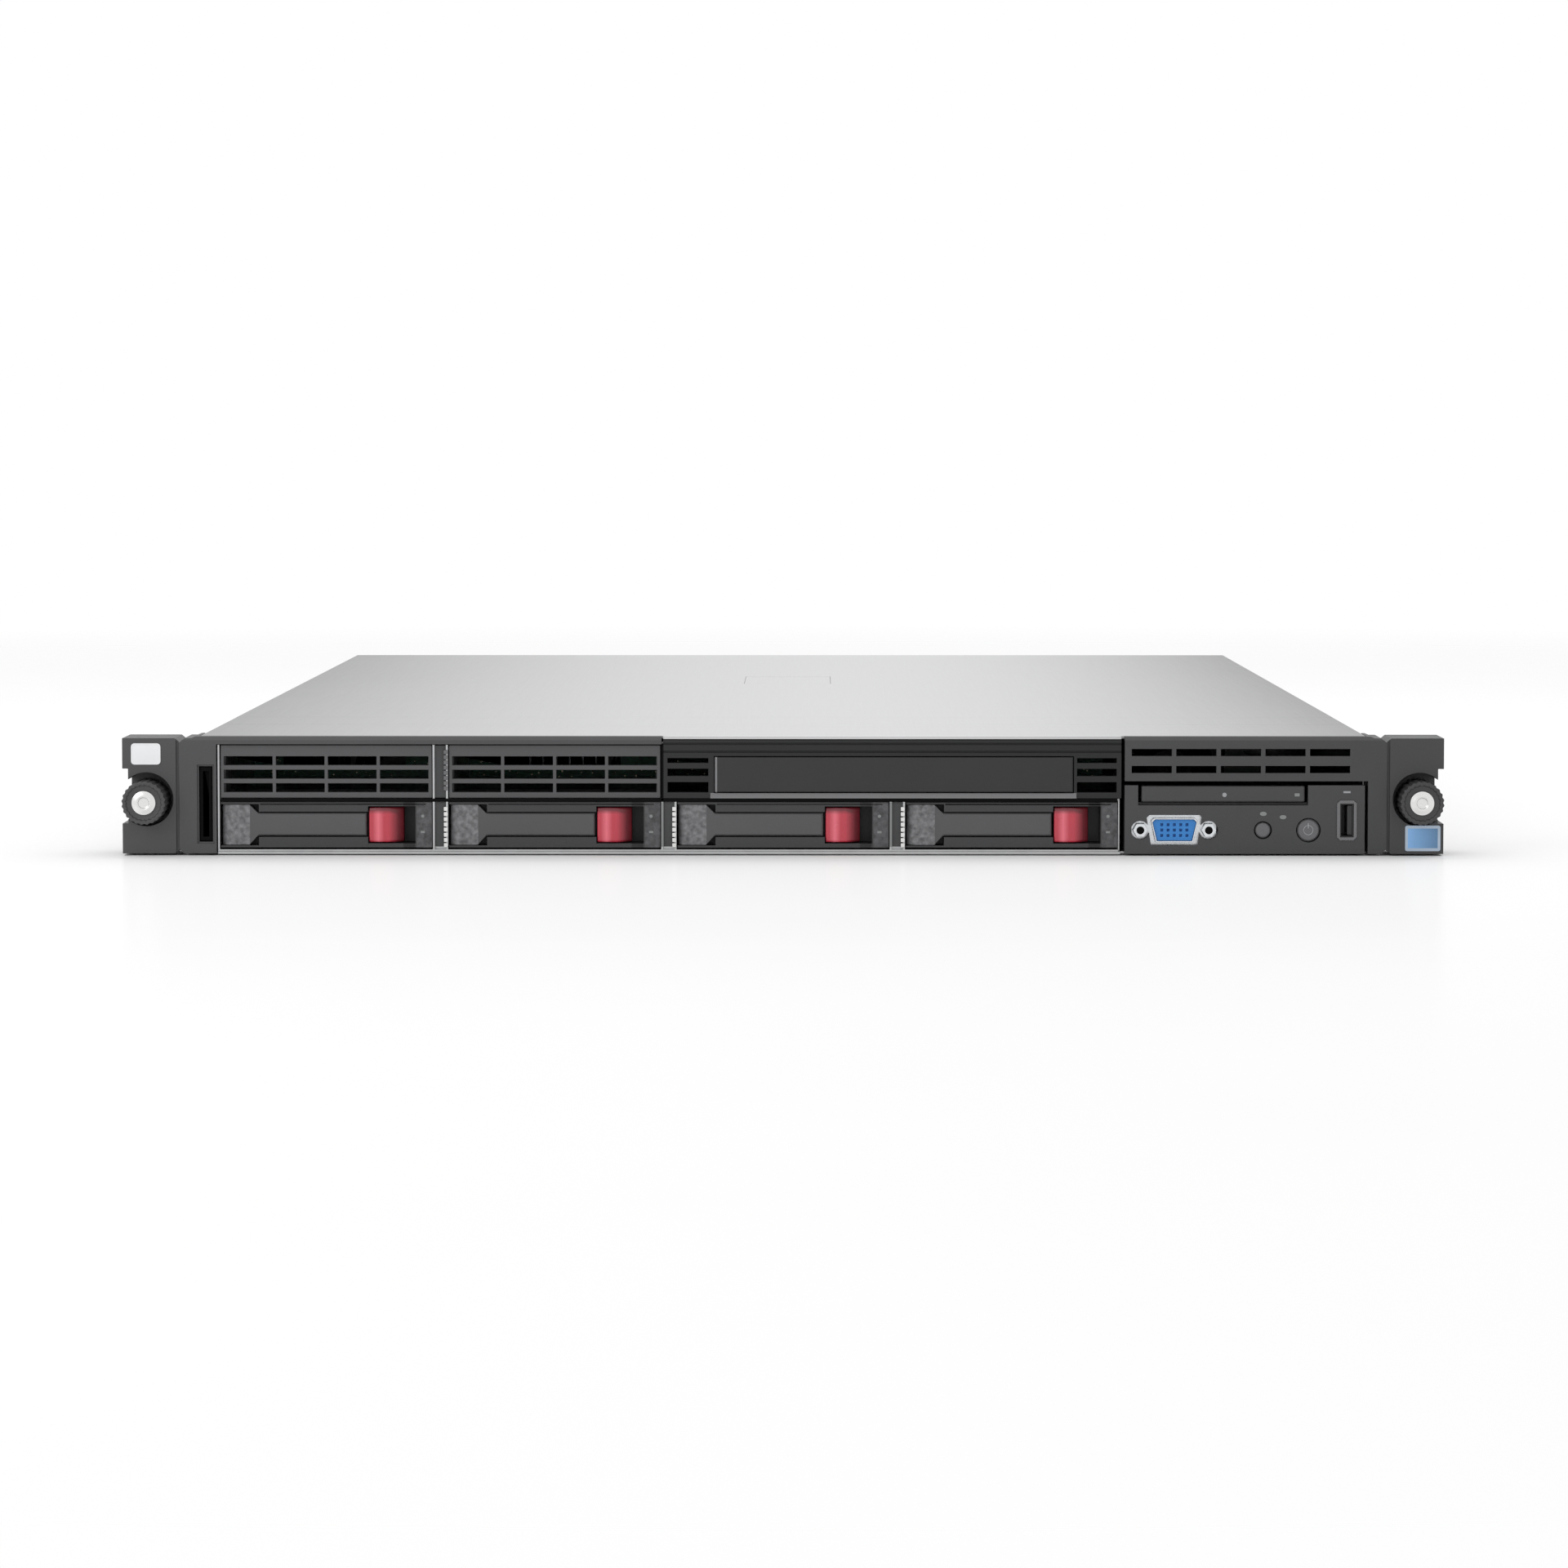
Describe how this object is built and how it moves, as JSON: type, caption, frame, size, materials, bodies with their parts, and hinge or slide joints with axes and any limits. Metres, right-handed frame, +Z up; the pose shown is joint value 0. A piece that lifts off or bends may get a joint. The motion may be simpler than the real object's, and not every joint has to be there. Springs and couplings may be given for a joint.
{
  "type": "rack server",
  "caption": "One-unit rack server with hot-plug drive carriers, blanked upper bays, a front connector panel, captive rack screws, sliding access panel and pull-out supplies.",
  "frame": {"origin": "centre of the footprint, on the underside of the tray", "axes": "+X to the right seen from the front, +Y from the front to the rear, +Z up"},
  "size_m": [0.4826, 0.7264, 0.0432],
  "materials": {
    "zinc_steel": "zinc-plated sheet steel",
    "cover_grey": "satin grey covers",
    "bezel_plastic": "dark grey moulded plastic",
    "blank_plastic": "dark grey moulded plastic",
    "carrier_plastic": "dark moulded carrier",
    "lever_plastic": "lighter grey lever",
    "release_red": "wine red button",
    "knob_plastic": "fluted dark grip",
    "button_plastic": "dark grey keys",
    "connector_steel": "plated connector shells",
    "blue_plastic": "blue connector insulator",
    "insulator_black": "black insulators",
    "board_green": "circuit board",
    "cooler_aluminium": "finned aluminium",
    "disk_aluminium": "cast disk housing",
    "fan_plastic": "black fan plastic",
    "latch_plastic": "coloured touch point"
  },
  "bodies": {
    "chassis": {"chassis_tray": "zinc_steel", "front_cover": "cover_grey", "drive_cage": "zinc_steel", "left_ear": "bezel_plastic", "right_ear": "bezel_plastic", "ear_brackets": "zinc_steel", "io_panel": "bezel_plastic", "front_vga_shell": "connector_steel", "front_vga_insert": "blue_plastic", "front_usb_port": "connector_steel", "media_bezel": "bezel_plastic", "drive_backplane": "board_green", "motherboard": "board_green", "heat_sinks": "cooler_aluminium", "memory_modules": "board_green", "fan_frames": "fan_plastic", "air_baffle": "fan_plastic", "riser_cage": "zinc_steel", "slot_covers": "zinc_steel", "rear_port_shells": "connector_steel", "network_shells": "connector_steel", "rear_port_inserts": "insulator_black", "rail_studs": "zinc_steel"},
    "access_panel": {"access_panel": "cover_grey"},
    "hood_latch": {"hood_latch": "latch_plastic"},
    "left_thumbscrew": {"left_thumbscrew": "knob_plastic"},
    "right_thumbscrew": {"right_thumbscrew": "knob_plastic"},
    "carrier_1": {"drive_carrier_1": "carrier_plastic", "disk_drive_1": "disk_aluminium"},
    "lever_1": {"eject_lever_1": "lever_plastic"},
    "release_1": {"release_button_1": "release_red"},
    "carrier_2": {"drive_carrier_2": "carrier_plastic", "disk_drive_2": "disk_aluminium"},
    "lever_2": {"eject_lever_2": "lever_plastic"},
    "release_2": {"release_button_2": "release_red"},
    "carrier_3": {"drive_carrier_3": "carrier_plastic", "disk_drive_3": "disk_aluminium"},
    "lever_3": {"eject_lever_3": "lever_plastic"},
    "release_3": {"release_button_3": "release_red"},
    "carrier_4": {"drive_carrier_4": "carrier_plastic", "disk_drive_4": "disk_aluminium"},
    "lever_4": {"eject_lever_4": "lever_plastic"},
    "release_4": {"release_button_4": "release_red"},
    "bay_blank_1": {"bay_blank_1": "blank_plastic"},
    "bay_blank_2": {"bay_blank_2": "blank_plastic"},
    "media_blank": {"media_blank": "blank_plastic"},
    "label_tab": {"label_tab": "bezel_plastic"},
    "status_display_tab": {"status_display_tab": "bezel_plastic"},
    "power_button": {"power_button": "button_plastic"},
    "uid_button": {"uid_button": "button_plastic"},
    "psu_1": {"psu_1": "zinc_steel", "psu_1_face": "insulator_black"},
    "psu_1_latch": {"psu_1_latch": "latch_plastic"},
    "psu_2": {"psu_2": "zinc_steel", "psu_2_face": "insulator_black"},
    "psu_2_latch": {"psu_2_latch": "latch_plastic"},
    "fan_rotor_1": {"fan_rotor_1": "fan_plastic"},
    "fan_rotor_2": {"fan_rotor_2": "fan_plastic"},
    "fan_rotor_3": {"fan_rotor_3": "fan_plastic"},
    "fan_rotor_4": {"fan_rotor_4": "fan_plastic"}
  },
  "joints": [
    {"name": "access_panel_slide", "type": "slide", "parent": "chassis", "child": "access_panel", "axis": [0, 1, 0], "range_m": [0, 0.013]},
    {"name": "hood_latch_swing", "type": "hinge", "parent": "access_panel", "child": "hood_latch", "pos_m": [0, 0.11115, 0.0411], "axis": [-1, 0, 0], "range_deg": [0, 60]},
    {"name": "left_thumbscrew_turn", "type": "hinge", "parent": "chassis", "child": "left_thumbscrew", "pos_m": [-0.23255, -0.32415, 0.0194], "axis": [0, 1, 0], "continuous": true},
    {"name": "right_thumbscrew_turn", "type": "hinge", "parent": "chassis", "child": "right_thumbscrew", "pos_m": [0.23255, -0.32415, 0.0194], "axis": [0, 1, 0], "continuous": true},
    {"name": "carrier_1_slide", "type": "slide", "parent": "chassis", "child": "carrier_1", "axis": [0, -1, 0], "range_m": [0, 0.12]},
    {"name": "lever_1_swing", "type": "hinge", "parent": "carrier_1", "child": "lever_1", "pos_m": [-0.2019, -0.34875, 0.01075], "axis": [0, 0, -1], "range_deg": [0, 55]},
    {"name": "release_1_press", "type": "slide", "parent": "carrier_1", "child": "release_1", "axis": [0, 1, 0], "range_m": [0, 0.0018], "stiffness_N_per_m": 900, "springref_m": -0.0006},
    {"name": "carrier_2_slide", "type": "slide", "parent": "chassis", "child": "carrier_2", "axis": [0, -1, 0], "range_m": [0, 0.12]},
    {"name": "lever_2_swing", "type": "hinge", "parent": "carrier_2", "child": "lever_2", "pos_m": [-0.11839, -0.34875, 0.01075], "axis": [0, 0, -1], "range_deg": [0, 55]},
    {"name": "release_2_press", "type": "slide", "parent": "carrier_2", "child": "release_2", "axis": [0, 1, 0], "range_m": [0, 0.0018], "stiffness_N_per_m": 900, "springref_m": -0.0006},
    {"name": "carrier_3_slide", "type": "slide", "parent": "chassis", "child": "carrier_3", "axis": [0, -1, 0], "range_m": [0, 0.12]},
    {"name": "lever_3_swing", "type": "hinge", "parent": "carrier_3", "child": "lever_3", "pos_m": [-0.03488, -0.34875, 0.01075], "axis": [0, 0, -1], "range_deg": [0, 55]},
    {"name": "release_3_press", "type": "slide", "parent": "carrier_3", "child": "release_3", "axis": [0, 1, 0], "range_m": [0, 0.0018], "stiffness_N_per_m": 900, "springref_m": -0.0006},
    {"name": "carrier_4_slide", "type": "slide", "parent": "chassis", "child": "carrier_4", "axis": [0, -1, 0], "range_m": [0, 0.12]},
    {"name": "lever_4_swing", "type": "hinge", "parent": "carrier_4", "child": "lever_4", "pos_m": [0.04864, -0.34875, 0.01075], "axis": [0, 0, -1], "range_deg": [0, 55]},
    {"name": "release_4_press", "type": "slide", "parent": "carrier_4", "child": "release_4", "axis": [0, 1, 0], "range_m": [0, 0.0018], "stiffness_N_per_m": 900, "springref_m": -0.0006},
    {"name": "bay_blank_1_slide", "type": "slide", "parent": "chassis", "child": "bay_blank_1", "axis": [0, -1, 0], "range_m": [0, 0.024]},
    {"name": "bay_blank_2_slide", "type": "slide", "parent": "chassis", "child": "bay_blank_2", "axis": [0, -1, 0], "range_m": [0, 0.024]},
    {"name": "media_blank_slide", "type": "slide", "parent": "chassis", "child": "media_blank", "axis": [0, -1, 0], "range_m": [0, 0.09]},
    {"name": "label_tab_slide", "type": "slide", "parent": "chassis", "child": "label_tab", "axis": [0, -1, 0], "range_m": [0, 0.07]},
    {"name": "status_display_slide", "type": "slide", "parent": "chassis", "child": "status_display_tab", "axis": [0, -1, 0], "range_m": [0, 0.075]},
    {"name": "power_button_press", "type": "slide", "parent": "chassis", "child": "power_button", "axis": [0, 1, 0], "range_m": [0, 0.0012], "stiffness_N_per_m": 700, "springref_m": -0.0005},
    {"name": "uid_button_press", "type": "slide", "parent": "chassis", "child": "uid_button", "axis": [0, 1, 0], "range_m": [0, 0.0012], "stiffness_N_per_m": 700, "springref_m": -0.0005},
    {"name": "psu_1_slide", "type": "slide", "parent": "chassis", "child": "psu_1", "axis": [0, 1, 0], "range_m": [0, 0.18]},
    {"name": "psu_1_latch_press", "type": "slide", "parent": "psu_1", "child": "psu_1_latch", "axis": [-1, 0, 0], "range_m": [0, 0.003], "stiffness_N_per_m": 900, "springref_m": -0.0006},
    {"name": "psu_2_slide", "type": "slide", "parent": "chassis", "child": "psu_2", "axis": [0, 1, 0], "range_m": [0, 0.18]},
    {"name": "psu_2_latch_press", "type": "slide", "parent": "psu_2", "child": "psu_2_latch", "axis": [-1, 0, 0], "range_m": [0, 0.003], "stiffness_N_per_m": 900, "springref_m": -0.0006},
    {"name": "fan_1_spin", "type": "hinge", "parent": "chassis", "child": "fan_rotor_1", "pos_m": [-0.1513, -0.19215, 0.0206], "axis": [0, 1, 0], "continuous": true},
    {"name": "fan_2_spin", "type": "hinge", "parent": "chassis", "child": "fan_rotor_2", "pos_m": [-0.05043, -0.19215, 0.0206], "axis": [0, 1, 0], "continuous": true},
    {"name": "fan_3_spin", "type": "hinge", "parent": "chassis", "child": "fan_rotor_3", "pos_m": [0.05043, -0.19215, 0.0206], "axis": [0, 1, 0], "continuous": true},
    {"name": "fan_4_spin", "type": "hinge", "parent": "chassis", "child": "fan_rotor_4", "pos_m": [0.1513, -0.19215, 0.0206], "axis": [0, 1, 0], "continuous": true}
  ],
  "couplings": [
    {"joint": "hood_latch_swing", "follows": "access_panel_slide", "rad_per_m": 80.5}
  ]
}
